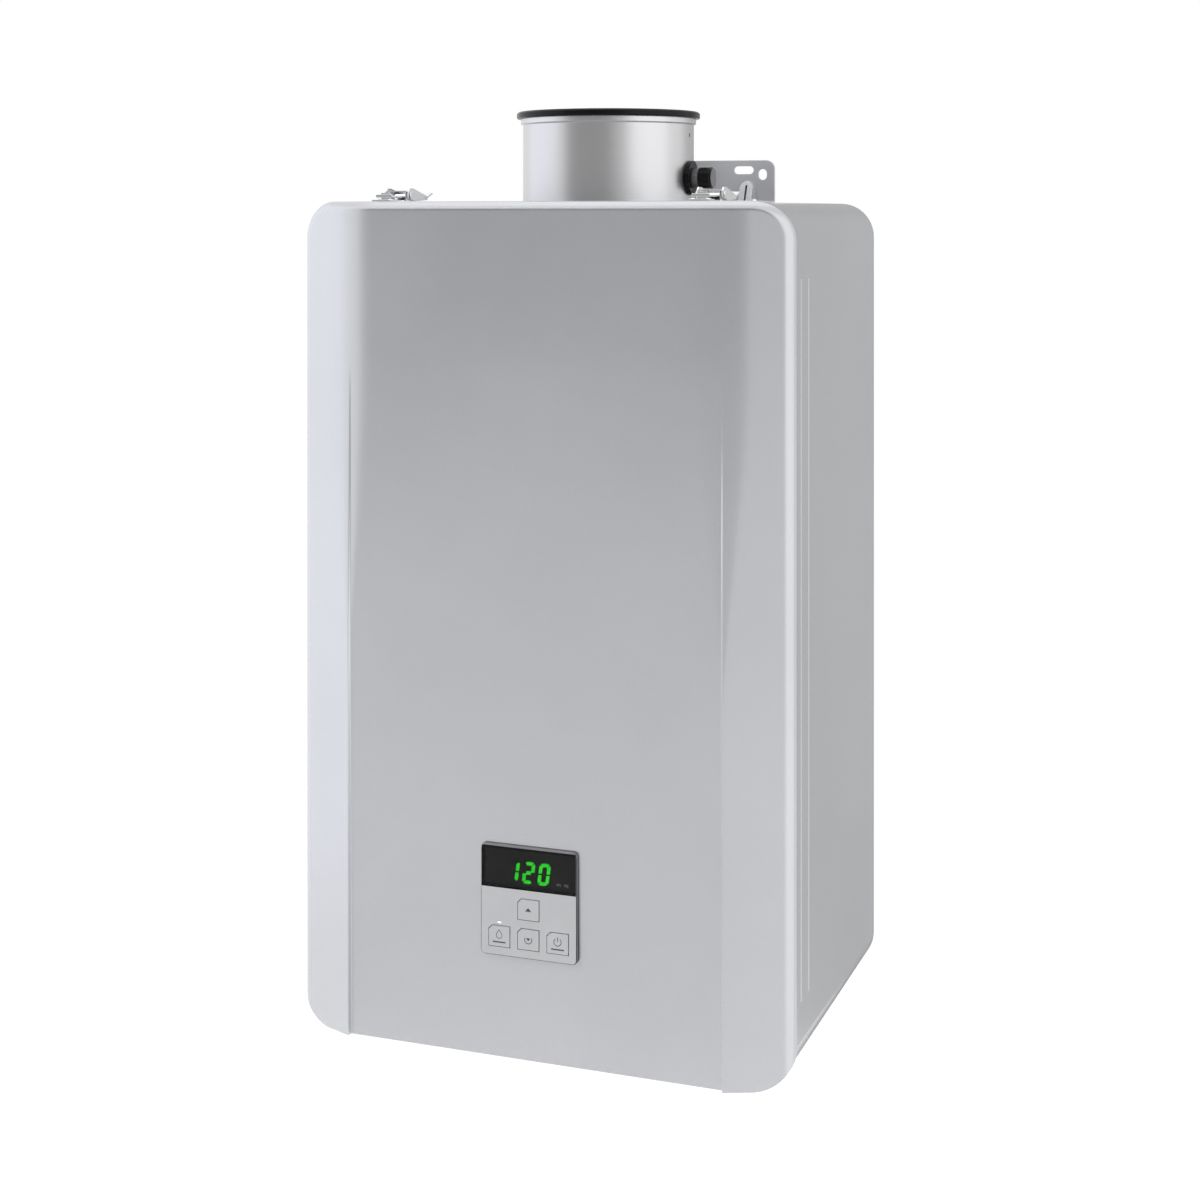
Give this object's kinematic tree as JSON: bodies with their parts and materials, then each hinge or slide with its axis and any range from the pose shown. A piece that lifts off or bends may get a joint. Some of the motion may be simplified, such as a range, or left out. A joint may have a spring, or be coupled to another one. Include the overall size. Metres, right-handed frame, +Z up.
{
  "type": "tankless water heater",
  "caption": "Wall-hung tankless gas water heater: silver case with a creased front cover, toggle latches, keypad with digital display, and concentric vent collar on top.",
  "frame": {"origin": "on the wall plane, midway between the two hanging slots of the top bracket", "axes": "+X to the right seen from the front, +Y into the wall, +Z up along the vent axis"},
  "size_m": [0.356, 0.2571, 0.682],
  "materials": {
    "silver_paint": "fine metallic silver paint",
    "steel_sheet": "plain galvanised sheet",
    "collar_steel": "brushed stainless sheet",
    "chrome": "bright plated sheet",
    "seal_rubber": "matt black rubber",
    "silicone": "red-brown silicone",
    "black_plastic": "satin black plastic",
    "grey_plastic": "satin silver-grey plastic",
    "dark_plastic": "dark grey moulded plastic",
    "white_plastic": "white plastic or ceramic",
    "smoked_window": "smoked acrylic",
    "green_light": "lit green bars",
    "circuit_board": "green laminate",
    "copper": "drawn copper",
    "brass": "machined brass",
    "cast_alloy": "die-cast alloy"
  },
  "bodies": {
    "heater": {"case_wrap": "silver_paint", "back_panel": "steel_sheet", "front_cover": "silver_paint", "cover_tabs": "steel_sheet", "cover_seal": "seal_rubber", "top_bracket": "silver_paint", "lower_bracket": "silver_paint", "sheet_screws": "chrome", "vent_collar": "collar_steel", "rim_seal": "seal_rubber", "flue_pipe": "collar_steel", "flue_seal": "silicone", "port_grommet": "seal_rubber", "port_nipple": "dark_plastic", "latch_base_left": "chrome", "latch_base_right": "chrome", "latch_catch_left": "chrome", "latch_catch_right": "chrome", "latch_rivets": "chrome", "panel_bezel": "grey_plastic", "display_window": "smoked_window", "display_segments": "green_light", "control_board": "circuit_board", "indicator_lens": "white_plastic", "cold_inlet": "brass", "flow_sensor": "dark_plastic", "water_valve": "dark_plastic", "cold_pipe": "copper", "hot_outlet": "brass", "hot_pipe": "copper", "gas_inlet": "brass", "gas_valve": "cast_alloy", "gas_manifold": "cast_alloy", "cord_gland": "black_plastic", "burner_box": "steel_sheet", "burner_bars": "steel_sheet", "exchanger_shell": "copper", "exchanger_fins": "copper", "exchanger_tubes": "copper", "flue_hood": "steel_sheet", "stack_brackets": "steel_sheet", "blower_housing": "cast_alloy", "blower_motor": "dark_plastic", "spark_igniter": "black_plastic", "ignition_electrodes": "white_plastic", "main_board": "circuit_board", "board_tray": "steel_sheet"},
    "left_lever": {"latch_lever_left": "chrome"},
    "right_lever": {"latch_lever_right": "chrome"},
    "left_bail": {"latch_bail_left": "chrome"},
    "right_bail": {"latch_bail_right": "chrome"},
    "up_key": {"button_up": "grey_plastic"},
    "down_key": {"button_down": "grey_plastic"},
    "priority_key": {"button_priority": "grey_plastic"},
    "power_key": {"button_power": "grey_plastic"},
    "port_lid": {"port_cap": "black_plastic"},
    "fan": {"blower_wheel": "dark_plastic"},
    "turbine": {"flow_turbine": "white_plastic"},
    "cold_drain": {"cold_plug": "black_plastic"},
    "hot_drain": {"hot_plug": "black_plastic"}
  },
  "joints": [
    {"name": "left_lever_swing", "type": "hinge", "parent": "heater", "child": "left_lever", "pos_m": [-0.115, -0.2165, -0.0208], "axis": [1, 0, 0], "range_deg": [0, 95]},
    {"name": "left_bail_swing", "type": "hinge", "parent": "left_lever", "child": "left_bail", "pos_m": [-0.115, -0.2086, -0.0218], "axis": [1, 0, 0], "range_deg": [-104.5, 0]},
    {"name": "right_lever_swing", "type": "hinge", "parent": "heater", "child": "right_lever", "pos_m": [0.115, -0.2165, -0.0208], "axis": [1, 0, 0], "range_deg": [0, 95]},
    {"name": "right_bail_swing", "type": "hinge", "parent": "right_lever", "child": "right_bail", "pos_m": [0.115, -0.2086, -0.0218], "axis": [1, 0, 0], "range_deg": [-104.5, 0]},
    {"name": "up_press", "type": "slide", "parent": "heater", "child": "up_key", "axis": [0, 1, 0], "range_m": [0, 0.0008], "stiffness_N_per_m": 1500},
    {"name": "down_press", "type": "slide", "parent": "heater", "child": "down_key", "axis": [0, 1, 0], "range_m": [0, 0.0008], "stiffness_N_per_m": 1500},
    {"name": "priority_press", "type": "slide", "parent": "heater", "child": "priority_key", "axis": [0, 1, 0], "range_m": [0, 0.0008], "stiffness_N_per_m": 1500},
    {"name": "power_press", "type": "slide", "parent": "heater", "child": "power_key", "axis": [0, 1, 0], "range_m": [0, 0.0008], "stiffness_N_per_m": 1500},
    {"name": "port_cap_pull", "type": "slide", "parent": "heater", "child": "port_lid", "axis": [1, 0, 0], "range_m": [0, 0.025]},
    {"name": "fan_spin", "type": "hinge", "parent": "heater", "child": "fan", "pos_m": [-0.025, -0.1007, -0.464], "axis": [0, 1, 0], "continuous": true},
    {"name": "turbine_spin", "type": "hinge", "parent": "heater", "child": "turbine", "pos_m": [0.125, -0.11, -0.549], "axis": [0, 0, 1], "continuous": true},
    {"name": "cold_drain_turn", "type": "hinge", "parent": "heater", "child": "cold_drain", "pos_m": [0.125, -0.14, -0.6115], "axis": [0, -1, 0], "range_deg": [0, 720]},
    {"name": "hot_drain_turn", "type": "hinge", "parent": "heater", "child": "hot_drain", "pos_m": [-0.125, -0.14, -0.6115], "axis": [0, -1, 0], "range_deg": [0, 720]}
  ],
  "couplings": [
    {"joint": "left_bail_swing", "follows": "left_lever_swing", "ratio": -1.1},
    {"joint": "right_bail_swing", "follows": "right_lever_swing", "ratio": -1.1}
  ]
}
